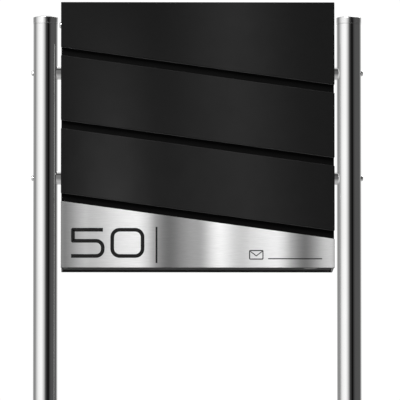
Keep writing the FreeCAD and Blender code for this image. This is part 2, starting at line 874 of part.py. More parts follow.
def make_post_bolt(side, height):
    """Button-head bolt from the outside of the post to the inside of the housing, washer and nut."""
    outward, inward = ("+X", "-X") if side > 0 else ("-X", "+X")
    post_outside = post_place + S["post_diameter"] / 2
    nut_end = wall_inside - S["washer_thickness"] - S["nut_height"]
    shank_length = post_outside - nut_end + S["screw_tail"]
    shank = rod(S["screw_radius"], (post_outside * side, 0, height), shank_length, inward)
    radius = S["head_radius"]
    rise = S["head_height"]
    head_ball = (radius * radius + rise * rise) / (rise * 2)
    centre = ((post_outside + rise - head_ball) * side, 0, height)
    head = rod(radius, (post_outside * side, 0, height), rise, outward)
    bolt = joined(shank, common(head, ball(head_ball, centre)))

    washer_start = (wall_inside * side, 0, height)
    washer = rod(S["washer_radius"], washer_start, S["washer_thickness"], inward)
    washer = cut(washer, rod(screw_hole, washer_start, S["washer_thickness"], inward))
    nut_start = ((wall_inside - S["washer_thickness"]) * side, 0, height)
    nut = hexagon(S["nut_radius"], nut_start, S["nut_height"], inward)
    nut = cut(nut, rod(S["screw_radius"], nut_start, S["nut_height"], inward))
    return bolt, washer, nut


def make_stand():
    bolts = []
    for name, side in SIDES:
        make_post(name, side)
        make_cap(name, side)
        make_base(name, side)
        for level, height in zip(("upper", "lower"), bolt_heights):
            make_spacer(f"{name}_{level}", side, height)
            bolts.append(make_post_bolt(side, height))
    for label, solids in zip(("post_bolts", "bolt_washers", "bolt_nuts"), zip(*bolts)):
        node(label, group(solids))


def check_model():
    """Stops if any object failed or any sub-part has no valid solid."""
    doc.recompute()
    for item in doc.Objects:
        if "Invalid" in item.State or "Error" in item.State:
            raise RuntimeError(f"{item.Label} ({item.TypeId}) failed: {item.State}")
    for item in nodes:
        if item.Shape.isNull() or not item.Shape.isValid() or not item.Shape.Solids:
            raise RuntimeError(f"{item.Label} has no valid solid")


def write_parts():
    os.makedirs("parts", exist_ok=True)
    for item in nodes:
        item.Shape.exportStep(f"parts/{item.Label}.step")


make_slats()
make_door_pan()
make_hinge()
make_keeper()
make_wrap()
make_floor()
make_deck()
make_deflector()
make_rubbers()
make_lid()
make_pivots()
make_lock()
make_stand()
check_model()
write_parts()
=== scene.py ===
"""Finished surfaces of a letterbox held between two round posts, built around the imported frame.

Everything is in metres in the part's own frame: the front faces -Y, +X is to the right of someone who stands
in front of it, and the floor is at height 0. New pieces are folded sheets, turned parts and swept bars worked
out as arrays, each in the place that the frame gives for the node it stands for.
"""

import math

import bmesh
import bpy
import numpy as np
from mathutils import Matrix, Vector


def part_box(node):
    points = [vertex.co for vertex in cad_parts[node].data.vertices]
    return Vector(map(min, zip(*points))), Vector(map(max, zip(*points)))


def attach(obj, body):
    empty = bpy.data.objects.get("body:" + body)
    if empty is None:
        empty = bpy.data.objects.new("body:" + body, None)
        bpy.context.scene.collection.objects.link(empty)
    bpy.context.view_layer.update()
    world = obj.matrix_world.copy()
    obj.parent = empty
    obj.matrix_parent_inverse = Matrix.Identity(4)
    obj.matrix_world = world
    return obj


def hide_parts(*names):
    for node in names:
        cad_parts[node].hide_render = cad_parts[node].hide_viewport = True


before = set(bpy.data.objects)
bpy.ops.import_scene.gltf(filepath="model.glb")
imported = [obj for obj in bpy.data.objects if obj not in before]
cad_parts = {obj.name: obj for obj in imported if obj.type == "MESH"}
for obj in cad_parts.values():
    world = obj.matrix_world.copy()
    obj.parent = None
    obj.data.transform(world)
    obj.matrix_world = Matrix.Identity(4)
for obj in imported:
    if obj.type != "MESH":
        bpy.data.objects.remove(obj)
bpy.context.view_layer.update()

MM = 0.001
GAUGE = 1.2 * MM
BEND = 1.5 * MM
SLAT_BEND = 0.7 * MM
SLAT_FALL = 51 * MM
FLANGE = 10 * MM
CLEARANCE = 0.3 * MM
EDGE_BREAK = 0.3 * MM
CORNER_ROUND = 0.8 * MM
COLLAR_RISE = 11.5 * MM
COLLAR_HALF_WIDTH = 165 * MM
COLLAR_SETBACK = 13.2 * MM
COLLAR_REAR_SETBACK = 13.3 * MM
LID_STEP = 9 * MM
POST_WALL = 2 * MM
HEAD_HEIGHT = 2.2 * MM
SOCKET_ACROSS = 2.5 * MM
NUT_ACROSS = 7 * MM
NUT_HEIGHT = 3.2 * MM
NUT_BORE = 1.99 * MM
THREAD_RADIUS = 2 * MM
SIDES = (("left", -1), ("right", 1))
LEVELS = ("upper", "lower")
SHARP = math.radians(35)
TINY = 0.02 * MM


# ---- shapes: arrays of points, and faces as a list of index arrays ----


def unit(vectors):
    return vectors / np.linalg.norm(vectors, axis=-1, keepdims=True)


def mitres(corners, closed=True):
    """At each corner, the vector along which both sides move left by one unit: (a + b) / (1 + a.b),
    where a and b are the left normals of the side before and the side after."""
    sides = unit(np.roll(corners, -1, axis=0) - corners)
    after = np.stack([-sides[:, 1], sides[:, 0]], axis=-1)
    before = np.roll(after, 1, axis=0)
    if not closed:
        before[0] = after[0]
        after[-1] = before[-1]
    return (before + after) / (1 + (before * after).sum(axis=-1, keepdims=True))


def turns(corners, closed=True):
    """Signed angle by which the outline turns at each corner, left being positive, and the side before."""
    before = unit(corners - np.roll(corners, 1, axis=0))
    after = np.roll(before, -1, axis=0)
    cross = before[:, 0] * after[:, 1] - before[:, 1] * after[:, 0]
    turn = np.arctan2(cross, (before * after).sum(axis=-1))
    if not closed:
        turn[[0, -1]] = 0
    return turn, before


def rounded(corners, radius, closed=True, steps=6):
    """Each corner becomes an arc tangent to both sides: it starts radius * tan(turn / 2) before the corner
    and turns about a centre one radius to the side, in even steps. Where nothing turns, one point stays."""
    corners = np.asarray(corners, float)
    turn, along = turns(corners, closed)
    radii = np.broadcast_to(radius, len(corners)).astype(float)
    start = corners - along * (radii * np.tan(np.abs(turn) / 2))[:, None]
    aside = np.stack([-along[:, 1], along[:, 0]], axis=-1) * np.sign(turn)[:, None]
    centre = start + aside * radii[:, None]
    arm = start - centre
    angle = turn[:, None] * np.linspace(0, 1, steps + 1)
    swung = np.stack(
        [
            arm[:, :1] * np.cos(angle) - arm[:, 1:] * np.sin(angle),
            arm[:, :1] * np.sin(angle) + arm[:, 1:] * np.cos(angle),
        ],
        axis=-1,
    )
    keep = (np.abs(turn)[:, None] > 1e-6) | (np.arange(steps + 1) == 0)
    return (centre[:, None] + swung)[keep]


def grid_faces(rows, columns, close_rows, close_columns):
    """Four-sided faces of a grid of points numbered row by row, joined end to start where it is closed."""
    row, column = np.meshgrid(
        np.arange(rows if close_rows else rows - 1),
        np.arange(columns if close_columns else columns - 1),
        indexing="ij",
    )
    next_row = (row + 1) % rows
    next_column = (column + 1) % columns
    faces = (
        row * columns + column,
        row * columns + next_column,
        next_row * columns + next_column,
        next_row * columns + column,
    )
    return np.stack(faces, axis=-1).reshape(-1, 4)


def grid(points, close_rows=False, close_columns=True, caps=False):
    """Shape of a grid of points; caps close its first and last row with one flat face each."""
    rows, columns = points.shape[:2]
    faces = [grid_faces(rows, columns, close_rows, close_columns)]
    if caps:
        ring = np.arange(columns)
        faces += [ring[None], (ring + (rows - 1) * columns)[None]]
    return points.reshape(-1, 3), faces


def joined(shapes):
    """Several shapes as one, with the faces of each renumbered by the points before it."""
    starts = np.cumsum([0] + [len(points) for points, _ in shapes])
    faces = [face + start for (_, group), start in zip(shapes, starts) for face in group]
    return np.concatenate([points for points, _ in shapes]), faces


def laid(flat, height, axes):
    """Points from two flat coordinates and a height, each along the frame's axis that axes names in turn."""
    points = np.zeros(flat.shape[:-1] + (3,))
    for axis, value in zip(axes, (flat[..., 0], flat[..., 1], height)):
        points[..., "xyz".index(axis)] = value
    return points


def about(centre, towards, flat, height):
    """Points round an axis through centre: two coordinates across the axis and a height along it."""
    sign = -1 if towards[0] == "-" else 1
    main = "xyz".index(towards[-1])
    points = np.zeros(flat.shape[:-1] + (3,))
    points[..., (main + 1) % 3] = flat[..., 0]
    points[..., (main + 2) % 3] = flat[..., 1]
    points[..., main] = height * sign
    return points + np.asarray(centre, float)


def turned(profile, centre, towards="z", segments=64, closed=False):
    """Profile points (radius, height) carried round a full turn about an axis through centre."""
    profile = np.asarray(profile, float)
    angle = np.arange(segments) * 2 * np.pi / segments
    flat = profile[:, :1, None] * np.stack([np.cos(angle), np.sin(angle)], axis=-1)
    return grid(about(centre, towards, flat, profile[:, 1:2]), close_rows=closed)


def hexagonal(angle, apothem):
    """Distance from the middle to a hexagon's side: apothem / cos of the angle from that side's middle."""
    return apothem / np.cos((angle + np.pi / 6) % (np.pi / 3) - np.pi / 6)


def hex_nut(centre, towards, across, height, bore):
    """Nut whose corners are cut by a cone: at each angle the side starts (hexagon radius - ring) / root 3
    below the end face, and ring is the round edge of the end face."""
    angle = np.arange(48) * 2 * np.pi / 48
    side = hexagonal(angle, across / 2)
    ring = np.full_like(side, across / 2 * 0.96)
    drop = (side - ring) / math.sqrt(3)
    hole = np.full_like(side, bore)
    radius = np.stack([hole, ring, side, side, ring, hole])
    zero = np.zeros_like(side)
    rise = np.stack([zero, zero, drop, height - drop, zero + height, zero + height])
    flat = radius[..., None] * np.stack([np.cos(angle), np.sin(angle)], axis=-1)
    return grid(about(centre, towards, flat, rise), close_rows=True)


def socket_screw(centre, towards, shank, head_radius, head_height, across):
    """Button head over a stepped shank. The dome's radius shrinks as the cosine and its height grows as the
    sine of one angle, and the socket's wall follows a hexagon. centre is the middle of the head's seat."""
    angle = np.arange(48) * 2 * np.pi / 48
    arc = np.linspace(0, 1, 9) * np.pi / 2
    rim = head_height * 0.16
    top = head_radius * 0.56
    dome_radius = top + (head_radius - top) * np.cos(arc)
    dome_height = rim + (head_height - rim) * np.sin(arc)
    dome = np.stack([dome_radius, dome_height], axis=-1)
    profile = np.concatenate([shank, [(head_radius, 0)], dome])
    radius = np.repeat(profile[:, :1], len(angle), axis=1)
    rise = np.repeat(profile[:, 1:], len(angle), axis=1)
    wall = hexagonal(angle, across / 2)
    floor = head_height * 0.35
    socket = ((wall * 1.08, head_height), (wall, head_height * 0.95), (wall, floor), (wall * 0, floor * 0.6))
    radius = np.concatenate([radius, [ring for ring, _ in socket]])
    rise = np.concatenate([rise, [np.full_like(angle, height) for _, height in socket]])
    flat = radius[..., None] * np.stack([np.cos(angle), np.sin(angle)], axis=-1)
    return grid(about(centre, towards, flat, rise))


def plain_shank(radius, length):
    """Profile of a screw's shank from its tip's middle to the head's seat, with a chamfered tip."""
    tip = radius * 0.25
    return [(0, -length), (radius - tip, -length), (radius, -length + tip), (radius, 0)]


def tray(corners, depth, place, bend=BEND, corner=CORNER_ROUND):
    """Sheet with a flat face and a wall folded back from each side. Rings of the outline are drawn at a
    growing inset: the outer bend has inset R (1 - sin a) and depth R (1 - cos a), the wall runs down to
    depth, and the inner bend has the same centre and a radius one gauge smaller."""
    corners = np.asarray(corners, float)
    inward = mitres(corners)
    angle = np.linspace(0, np.pi / 2, 7)
    inner_bend = max(bend - GAUGE, TINY)
    outer = [(bend * (1 - math.sin(a)), bend * (1 - math.cos(a))) for a in angle]
    inner = [(GAUGE + inner_bend * (1 - math.sin(a)), GAUGE + inner_bend * (1 - math.cos(a))) for a in angle]

    def ring(inset):
        return rounded(corners + inward * inset, max(corner - inset, TINY), steps=4)

    edge = depth(ring(0)) if callable(depth) else depth
    rings = [place(ring(inset), deep) for inset, deep in outer]
    rings += [place(ring(0), edge), place(ring(GAUGE), edge)]
    rings += [place(ring(inset), deep) for inset, deep in reversed(inner)]
    return grid(np.stack(rings), caps=True)


def strip(corners, low, high, axes, thickness=GAUGE, bend=BEND):
    """Sheet folded along a path of corners, its thickness to the path's left. Each station of the path has
    four points, the outer and inner line at the low and the high edge."""
    corners = np.asarray(corners, float)
    left = turns(corners, closed=False)[0] > 0
    outer = rounded(corners, np.where(left, bend, bend - thickness), closed=False)
    shifted = corners + mitres(corners, closed=False) * thickness
    inner = rounded(shifted, np.where(left, bend - thickness, bend), closed=False)
    low = low(outer) if callable(low) else np.full(len(outer), low)
    high = high(outer) if callable(high) else np.full(len(outer), high)
    section = ((outer, low), (outer, high), (inner, high), (inner, low))
    return grid(np.stack([laid(line, edge, axes) for line, edge in section], axis=1), caps=True)


def swept(path, profile, front, closed=False):
    """Bar on an upright face: its profile (offset across, height off the face) is carried along a path."""
    across = mitres(path, closed)
    profile = np.asarray(profile, float)
    flat = path[:, None] + across[:, None] * profile[None, :, :1]
    points = laid(flat, front - profile[None, :, 1], "xzy")
    return grid(points, close_rows=closed, close_columns=True, caps=not closed)


# ---- pieces: a shape becomes an object that rides on a body ----


def make_piece(name, shape, material, body, slot, stands_for=(), sharp=SHARP):
    """Puts a shape in the scene: equal points merged, faces outward, smooth except over sharp angles. Only
    bright steel is mirrored in the posts, which keep the studio's even bands over their whole width."""
    points, faces = shape
    mesh = bpy.data.meshes.new(name)
    mesh.from_pydata(points.tolist(), [], [face for group in faces for face in group.tolist()])
    work = bmesh.new()
    work.from_mesh(mesh)
    bmesh.ops.remove_doubles(work, verts=work.verts, dist=0.001 * MM)
    bmesh.ops.recalc_face_normals(work, faces=work.faces)
    work.to_mesh(mesh)
    work.free()
    mesh.shade_smooth()
    mesh.set_sharp_from_angle(angle=sharp)
    mesh.materials.append(material)
    piece = bpy.data.objects.new(name, mesh)
    bpy.context.scene.collection.objects.link(piece)
    weighted = piece.modifiers.new("even_shading", "WEIGHTED_NORMAL")
    weighted.keep_sharp = True
    piece.visible_glossy = slot == "polished_steel"
    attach(piece, body)
    if stands_for:
        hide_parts(*stands_for)
    return piece


# ---- finishes ----


def add(tree, kind, sockets=None, **settings):
    """Shader node whose sockets get numbers or links."""
    node = tree.nodes.new("ShaderNode" + kind)
    for setting, value in settings.items():
        setattr(node, setting, value)
    for socket, value in (sockets or {}).items():
        if isinstance(value, bpy.types.NodeSocket):
            tree.links.new(value, node.inputs[socket])
        else:
            node.inputs[socket].default_value = value
    return node


def new_finish(name, **fixed):
    material = bpy.data.materials.new(name)
    material.use_nodes = True
    shader = material.node_tree.nodes["Principled BSDF"]
    for socket, value in fixed.items():
        shader.inputs[socket.replace("_", " ")].default_value = value
    return material, material.node_tree, shader


def place_on(tree, scale=(1, 1, 1), centre=(0, 0, 0)):
    """Object coordinates, centred and then stretched."""
    coordinates = add(tree, "TexCoord").outputs["Object"]
    shift = tuple(-c * s for c, s in zip(centre, scale))
    return add(tree, "Mapping", {"Vector": coordinates, "Scale": scale, "Location": shift}).outputs["Vector"]


def noise(tree, vector, scale, detail=3.0, rough=0.5):
    sockets = {"Vector": vector, "Scale": scale, "Detail": detail, "Roughness": rough}
    return add(tree, "TexNoise", sockets).outputs["Fac"]


def ramp(tree, factor, stops, interpolation="LINEAR"):
    """Colour ramp from stops (position, grey or colour)."""
    node = add(tree, "ValToRGB", {"Fac": factor})
    node.color_ramp.interpolation = interpolation
    elements = node.color_ramp.elements
    while len(elements) < len(stops):
        elements.new(0.5)
    for element, (position, colour) in zip(elements, stops):
        element.position = position
        element.color = (*((colour,) * 3 if np.isscalar(colour) else colour), 1)
    return node.outputs["Color"]


def spread(tree, value, low, high, from_low=0.3, from_high=0.7):
    sockets = {"Value": value, "From Min": from_low, "From Max": from_high, "To Min": low, "To Max": high}
    return add(tree, "MapRange", sockets).outputs["Result"]


def tinted(tree, first, second, factor=1.0, blend="MULTIPLY"):
    node = add(tree, "Mix", data_type="RGBA", blend_type=blend)
    for index, value in ((0, factor), (6, first), (7, second)):
        if isinstance(value, bpy.types.NodeSocket):
            tree.links.new(value, node.inputs[index])
        else:
            node.inputs[index].default_value = value
    return node.outputs[2]


def relief(tree, shader, height, strength, distance):
    bump = add(tree, "Bump", {"Height": height, "Strength": strength, "Distance": distance})
    tree.links.new(bump.outputs["Normal"], shader.inputs["Normal"])


def polished_steel():
    """Mirror-polished steel: upright drawn lines, faint smears and a little warmth."""
    material, tree, shader = new_finish("polished_steel", Metallic=1.0)
    drawn = noise(tree, place_on(tree, (900, 900, 5)), 1.0, 4.0)
    smear = noise(tree, place_on(tree, (14, 14, 5)), 1.0, 3.0)
    colour = ramp(tree, smear, ((0.3, (0.80, 0.80, 0.795)), (0.7, (0.86, 0.86, 0.86))))
    tree.links.new(colour, shader.inputs["Base Color"])
    tree.links.new(spread(tree, smear, 0.025, 0.055), shader.inputs["Roughness"])
    relief(tree, shader, drawn, 0.05, 0.02 * MM)
    return material


def turned_steel(centres):
    """Polished cap and plate metal with fine rings left by the lathe round each of the two post axes."""
    material, tree, shader = new_finish("turned_steel", Metallic=1.0)
    folded = add(tree, "VectorMath", {0: place_on(tree)}, operation="ABSOLUTE").outputs[0]
    arm = add(tree, "VectorMath", {0: folded, 1: (centres, 0, 0)}, operation="SUBTRACT").outputs[0]
    level = add(tree, "VectorMath", {0: arm, 1: (1, 1, 0)}, operation="MULTIPLY").outputs[0]
    radius = add(tree, "VectorMath", {0: level}, operation="LENGTH").outputs["Value"]
    rings = add(tree, "Math", {0: radius, 1: 2 * math.pi / (0.45 * MM)}, operation="MULTIPLY").outputs[0]
    wave = add(tree, "Math", {0: rings}, operation="SINE").outputs[0]
    smear = noise(tree, place_on(tree, (60, 60, 60)), 1.0)
    colour = ramp(tree, smear, ((0.3, (0.78, 0.78, 0.775)), (0.7, (0.85, 0.85, 0.85))))
    tree.links.new(colour, shader.inputs["Base Color"])
    tree.links.new(spread(tree, smear, 0.10, 0.18), shader.inputs["Roughness"])
    relief(tree, shader, wave, 0.35, 0.02 * MM)
    return material


# painted reflection: brightness of the sheen painted in at places across the front, in millimetres from its
# middle
PLATE_HALF = 185
PAINTED_SHEEN_BANDS = (
    (-185, 0.22), (-176, 0.13), (-154, 0.49), (-145, 0.38), (-119, 0.56), (-82, 0.83), (-67, 0.54),
    (-57, 0.28), (-40, 0.09), (-24, 0.22), (-6, 0.34), (5, 0.31), (17, 0.66), (30, 0.94), (44, 0.68),
    (58, 0.52), (71, 0.63), (104, 0.91), (116, 0.71), (126, 0.41), (141, 0.13), (153, 0.21), (166, 0.46),
    (181, 0.70), (185, 0.36),
)


def brushed_plate():
    """Plate brushed along X: fine lines along the brushing, and soft upright bands of painted reflection in
    its colour.
    """
    material, tree, shader = new_finish("brushed_plate", Metallic=0.9, Roughness=0.42)
    place = place_on(tree)
    across = add(tree, "SeparateXYZ", {"Vector": place}).outputs["X"]
    share = spread(tree, across, 0.0, 1.0, -PLATE_HALF * MM, PLATE_HALF * MM)
    stops = [((at + PLATE_HALF) / (2 * PLATE_HALF), grey) for at, grey in PAINTED_SHEEN_BANDS]
    # painted reflection: the sheen bands are painted into the base colour along X
    bands = ramp(tree, share, stops, "B_SPLINE")
    grain = noise(tree, place_on(tree, (55, 900, 2600)), 1.0, 3.0, 0.6)
    fine = noise(tree, place_on(tree, (130, 900, 6500)), 1.0, 2.0)
    coarse_lines = ramp(tree, grain, ((0.3, 0.86), (0.7, 1.0)))
    fine_lines = ramp(tree, fine, ((0.3, 0.9), (0.7, 1.0)))
    lines = tinted(tree, coarse_lines, fine_lines)
    tree.links.new(tinted(tree, bands, lines), shader.inputs["Base Color"])
    relief(tree, shader, grain, 0.25, 0.03 * MM)
    return material


# the same painted sheen for the slats, at their top and at their bottom, in units of the painted sheen unit
# below
PAINTED_UPPER_SHEEN = (
    (-175, 1), (-140, 1), (-75, 0), (-50, 0), (-10, 3), (45, 11), (80, 7), (130, 1), (175, 1),
)
PAINTED_LOWER_SHEEN = (
    (-175, 3), (-145, 13), (-108, 20), (-75, 9), (-48, 5), (-10, 7), (45, 11), (80, 12), (130, 5), (175, 3),
)
PAINTED_SHEEN_UNIT = 0.0007


def powder_coat(name, base, roughness, specular):
    """Black powder coat: fine orange peel over a faint cloudiness, which varies the base tone by half."""
    material, tree, shader = new_finish(name, Metallic=0.0, Specular_IOR_Level=specular)
    place = place_on(tree)
    cloud = noise(tree, place_on(tree, (9, 9, 3)), 1.0, 1.0)
    colour = ramp(tree, cloud, ((0.32, base * 0.75), (0.68, base * 1.25)))
    tree.links.new(colour, shader.inputs["Base Color"])
    speck = noise(tree, place, 900, 2.0)
    tree.links.new(spread(tree, speck, roughness - 0.04, roughness + 0.05), shader.inputs["Roughness"])
    relief(tree, shader, noise(tree, place, 1000, 2.0, 0.55), 0.22, 0.05 * MM)
    return material


def slat_coat(low, high):
    """Powder coat with painted reflection: upright bands of sheen, painted into the base colour, drift from
    the slats' top to their bottom: two ramps over X, mixed by height."""
    material = powder_coat("slat_coat", 0.010, 0.40, 0.10)
    tree = material.node_tree
    shader = tree.nodes["Principled BSDF"]
    parts = add(tree, "SeparateXYZ", {"Vector": place_on(tree)})
    share = spread(tree, parts.outputs["X"], 0.0, 1.0, low.x, high.x)
    width = (high.x - low.x) / MM
    # painted reflection: one ramp of painted sheen over X for the slats' bottom and one for their top
    painted_sheens = [
        ramp(tree, share, [(at / width + 0.5, grey * PAINTED_SHEEN_UNIT) for at, grey in bands], "B_SPLINE")
        for bands in (PAINTED_LOWER_SHEEN, PAINTED_UPPER_SHEEN)
    ]
    height = spread(tree, parts.outputs["Z"], 0.0, 1.0, low.z, high.z)
    bands = add(tree, "Mix", {0: height, 6: painted_sheens[0], 7: painted_sheens[1]}, data_type="RGBA").outputs[2]
    cloud = ramp(tree, noise(tree, place_on(tree), 40, 2.0), ((0.3, 0.85), (0.7, 1.0)))
    tree.links.new(tinted(tree, bands, cloud), shader.inputs["Base Color"])
    return material


def zinc_steel():
    """Bright zinc: small mottled crystals, slightly blue, and dull in the hollows."""
    material, tree, shader = new_finish("zinc_steel", Metallic=1.0)
    crystals = add(tree, "TexVoronoi", {"Vector": place_on(tree), "Scale": 700.0}).outputs["Color"]
    mottle = noise(tree, place_on(tree), 260, 4.0)
    colour = ramp(tree, mottle, ((0.3, (0.50, 0.53, 0.57)), (0.7, (0.74, 0.76, 0.78))))
    tree.links.new(tinted(tree, colour, crystals, 0.08), shader.inputs["Base Color"])
    tree.links.new(spread(tree, mottle, 0.26, 0.42), shader.inputs["Roughness"])
    relief(tree, shader, mottle, 0.15, 0.03 * MM)
    return material


def lock_metal():
    """Zinc casting coloured near black as painted shade, to stay dark under the housing: satin, a warm tint
    and fine turning lines.
    """
    material, tree, shader = new_finish("lock_metal", Specular_IOR_Level=0.1)
    lines = noise(tree, place_on(tree, (300, 300, 6000)), 1.0, 2.0)
    mottle = noise(tree, place_on(tree), 180, 3.0)
    colour = ramp(tree, mottle, ((0.3, (0.007, 0.007, 0.006)), (0.7, (0.014, 0.013, 0.012))))
    tree.links.new(colour, shader.inputs["Base Color"])
    tree.links.new(spread(tree, lines, 0.35, 0.5), shader.inputs["Roughness"])
    relief(tree, shader, lines, 0.2, 0.02 * MM)
    return material


def nylon():
    """Natural nylon: milky, faintly yellow, with moulding flow in it."""
    material, tree, shader = new_finish("nylon", Roughness=0.45, Subsurface_Weight=0.2)
    shader.inputs["Subsurface Radius"].default_value = (2 * MM, 1.6 * MM, 1.2 * MM)
    flow = noise(tree, place_on(tree, (1, 1, 3)), 320, 3.0)
    colour = ramp(tree, flow, ((0.3, (0.78, 0.76, 0.68)), (0.7, (0.86, 0.85, 0.79))))
    tree.links.new(colour, shader.inputs["Base Color"])
    relief(tree, shader, flow, 0.1, 0.03 * MM)
    return material


def black_rubber():
    """Moulded rubber: dull black with grey bloom and small pits."""
    material, tree, shader = new_finish("black_rubber")
    bloom = noise(tree, place_on(tree), 350, 4.0)
    pits = noise(tree, place_on(tree), 2200, 2.0)
    tree.links.new(ramp(tree, bloom, ((0.35, 0.010), (0.7, 0.024))), shader.inputs["Base Color"])
    tree.links.new(spread(tree, pits, 0.72, 0.9), shader.inputs["Roughness"])
    relief(tree, shader, pits, 0.3, 0.05 * MM)
    return material


def engraving_ink():
    """Black stoved filling of the engraved marks, slightly uneven."""
    material, tree, shader = new_finish("engraving_ink", Specular_IOR_Level=0.1)
    uneven = noise(tree, place_on(tree), 420, 3.0)
    tree.links.new(ramp(tree, uneven, ((0.3, 0.002), (0.7, 0.004))), shader.inputs["Base Color"])
    tree.links.new(spread(tree, uneven, 0.5, 0.65), shader.inputs["Roughness"])
    relief(tree, shader, uneven, 0.15, 0.03 * MM)
    return material


def weld_steel(centres):
    """Weld metal with heat tint: straw, then blue, then bare steel with growing distance from the post."""
    material, tree, shader = new_finish("weld_steel", Metallic=1.0, Roughness=0.3)
    folded = add(tree, "VectorMath", {0: place_on(tree)}, operation="ABSOLUTE").outputs[0]
    arm = add(tree, "VectorMath", {0: folded, 1: (centres, 0, 0)}, operation="SUBTRACT").outputs[0]
    level = add(tree, "VectorMath", {0: arm, 1: (1, 1, 0)}, operation="MULTIPLY").outputs[0]
    radius = add(tree, "VectorMath", {0: level}, operation="LENGTH").outputs["Value"]
    share = spread(tree, radius, 0.0, 1.0, 16.5 * MM, 21 * MM)
    stops = (
        (0.0, (0.62, 0.56, 0.46)),
        (0.45, (0.66, 0.52, 0.30)),
        (0.7, (0.42, 0.40, 0.50)),
        (1.0, (0.62, 0.62, 0.62)),
    )
    colour = ramp(tree, share, stops)
    uneven = noise(tree, place_on(tree), 500, 3.0)
    shade = ramp(tree, uneven, ((0.3, 0.75), (0.7, 1.0)))
    tree.links.new(tinted(tree, colour, shade), shader.inputs["Base Color"])
    relief(tree, shader, uneven, 0.2, 0.05 * MM)
    return material


POST_X = (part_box("post_right")[0].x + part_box("post_right")[1].x) / 2

FINISH = {
    "polished_steel": polished_steel(),
    "turned_steel": turned_steel(POST_X),
    "brushed_plate": brushed_plate(),
    "slat_coat": slat_coat(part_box("slat_lower_middle")[0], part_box("slat_top")[1]),
    # painted shade: a far darker, duller copy of the powder coat for the door pan and the housing floor
    "painted_shade_pan_coat": powder_coat("painted_shade_pan_coat", 0.0008, 0.60, 0.03),
    # painted shade: a darker, duller copy of the powder coat for the slats' walls and bends
    "painted_shade_wall_coat": powder_coat("painted_shade_wall_coat", 0.003, 0.65, 0.04),
    "housing_coat": powder_coat("housing_coat", 0.007, 0.46, 0.20),
    "zinc_steel": zinc_steel(),
    # painted shade: the lock parts are coloured near black
    "lock_metal": lock_metal(),
    "nylon": nylon(),
    "black_rubber": black_rubber(),
    "engraving_ink": engraving_ink(),
    "weld_steel": weld_steel(POST_X),
}


# ---- slats and name plate ----


def slat_corners(low, high, flat_top=False, flat_bottom=False):
    """The four corners of a slat seen from the front, from its lower left one round to the upper left."""
    return (
        (low.x, low.z if flat_bottom else low.z + SLAT_FALL),
        (high.x, low.z),
        (high.x, high.z if flat_top else high.z - SLAT_FALL),
        (low.x, high.z),
    )


SLATS = ("slat_top", "slat_upper_middle", "slat_lower_middle", "plate_carrier")
WALL_TILT = math.radians(55)


def outline_of(name):
    low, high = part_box(name)
    return slat_corners(low, high, name == SLATS[0], name in (SLATS[-1], "name_plate"))


def paint_shade_on_walls(piece, finish):
    """Painted shade: a darker, duller second finish on every face turned from the front by more than
    WALL_TILT.
    """
    mesh = piece.data
    mesh.materials.append(finish)
    normals = np.empty(len(mesh.polygons) * 3)
    mesh.polygons.foreach_get("normal", normals)
    turned_away = normals.reshape(-1, 3)[:, 1] > -math.cos(WALL_TILT)
    mesh.polygons.foreach_set("material_index", turned_away.astype(np.int32))
    mesh.update()


def make_slats():
    """Folded slats and plate carrier; the walls behind their bends get painted shade, a darker and duller
    finish."""
    for name in SLATS:
        low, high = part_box(name)

        def place(flat, deep):
            return laid(flat, low.y + deep, "xzy")

        shape = tray(outline_of(name), high.y - low.y, place, SLAT_BEND)
        slat = make_piece("folded_" + name, shape, FINISH["slat_coat"], "door", "black_coat", [name])
        # painted shade on the walls and bends behind the slats' front
        paint_shade_on_walls(slat, FINISH["painted_shade_wall_coat"])


def make_name_plate():
    """Flat plate whose front edge is broken by a small round: rings of its outline at inset r (1 - sin a) and
    depth r (1 - cos a), and one more at its back."""
    low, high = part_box("name_plate")
    corners = np.asarray(outline_of("name_plate"), float)
    inward = mitres(corners)
    rings = []
    for angle in np.linspace(0, np.pi / 2, 5):
        inset = EDGE_BREAK * (1 - math.sin(angle))
        ring = rounded(corners + inward * inset, CORNER_ROUND - inset, steps=4)
        rings.append(laid(ring, low.y + EDGE_BREAK * (1 - math.cos(angle)), "xzy"))
    rings.append(laid(rounded(corners, CORNER_ROUND, steps=4), high.y, "xzy"))
    shape = grid(np.stack(rings), caps=True)
    steel = FINISH["brushed_plate"]
    make_piece("brushed_name_plate", shape, steel, "door", "brushed_plate", ["name_plate"])


INK_PROUD = 0.15 * MM
INK_EDGE = 0.1 * MM
NUMBER_PEN = 5.0 * MM
DIVIDER_PEN = 2.4 * MM
SIGN_PEN = 1.4 * MM
FLAP_PEN = 1.2 * MM


def stroke(corners, width, radius=TINY, closed=False):
    """One inked line of the engraving: a path rounded at its corners, with a flat low section along it."""
    low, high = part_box("name_plate")
    centre = np.array([(low.x + high.x) / 2, low.z])
    corners = np.asarray(corners, float) * MM + centre
    path = rounded(corners, radius, closed, steps=10)
    half = width / 2
    profile = (
        (-half, -INK_PROUD),
        (-half, INK_PROUD - INK_EDGE),
        (-half + INK_EDGE, INK_PROUD),
        (half - INK_EDGE, INK_PROUD),
        (half, INK_PROUD - INK_EDGE),
        (half, -INK_PROUD),
    )
    return swept(path, profile, low.y, closed)


